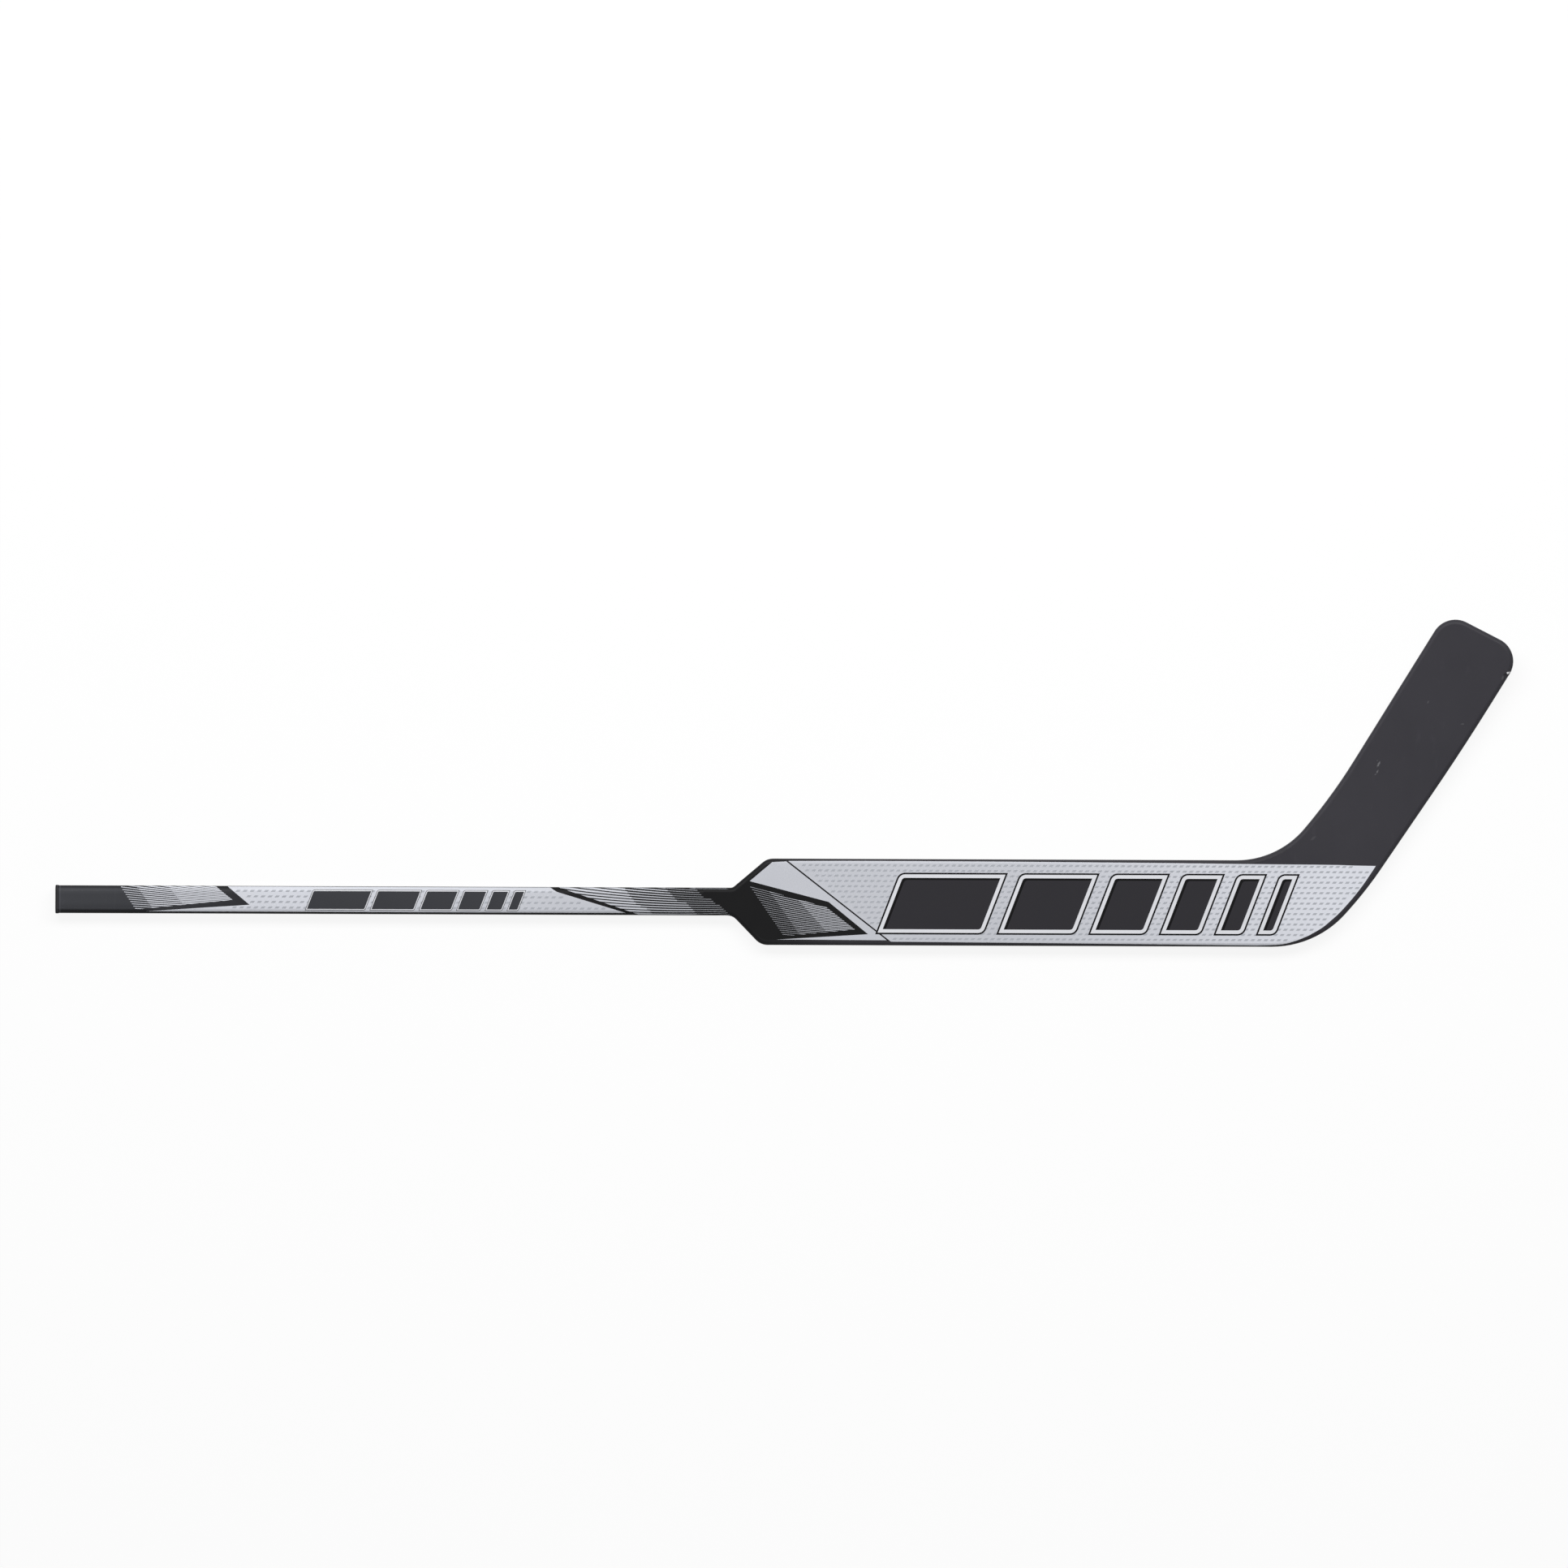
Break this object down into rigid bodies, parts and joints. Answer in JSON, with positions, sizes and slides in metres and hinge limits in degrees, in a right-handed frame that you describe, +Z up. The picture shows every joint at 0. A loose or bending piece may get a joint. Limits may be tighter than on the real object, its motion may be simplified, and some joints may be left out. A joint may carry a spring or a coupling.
{
  "type": "hockey goalie stick",
  "caption": "Ice hockey goalkeeper's stick: hollow shaft with a pull-out butt plug, wide foam-cored paddle under printed film, and a curved black blade",
  "frame": {"origin": "On the flat back face of the paddle's film, on the shaft's middle line, where the shaft's sides meet the paddle's shoulders", "axes": "X runs along the shaft from the butt to the heel, Y across the paddle to the side that the toe points to, Z up out of the printed face; the stick lies on its back"},
  "size_m": [1.4996, 0.3375, 0.0281],
  "materials": {
    "shaft_laminate": "black fibre laminate under a satin clear coat",
    "plug_rubber": "matt black moulded rubber",
    "printed_film": "silver film with a printed pattern under a gloss coat",
    "wood_insert": "planed pale wood",
    "edge_laminate": "black laminate band with a satin coat",
    "paddle_laminate": "black fibre laminate",
    "foam": "closed-cell foam",
    "blade_laminate": "charcoal black laminate with a fine grain"
  },
  "bodies": {
    "stick": {"shaft_tube": "shaft_laminate", "shaft_film_front": "printed_film", "shaft_film_back": "printed_film", "shaft_tenon": "wood_insert", "paddle_edge_upper": "edge_laminate", "paddle_edge_lower": "edge_laminate", "paddle_front_skin": "paddle_laminate", "paddle_back_skin": "paddle_laminate", "paddle_film_front": "printed_film", "paddle_film_back": "printed_film", "paddle_core_upper": "foam", "paddle_core_lower": "foam", "paddle_spine": "wood_insert", "heel_tenon": "wood_insert", "blade_edge_wrap": "blade_laminate", "blade_front_skin": "blade_laminate", "blade_back_skin": "blade_laminate", "blade_core_upper": "foam", "blade_core_lower": "foam", "blade_rib": "wood_insert"},
    "end_plug": {"butt_end_plug": "plug_rubber"}
  },
  "joints": [
    {"name": "plug_pull", "type": "slide", "parent": "stick", "child": "end_plug", "axis": [-1, 0, 0], "range_m": [0, 0.036]}
  ]
}
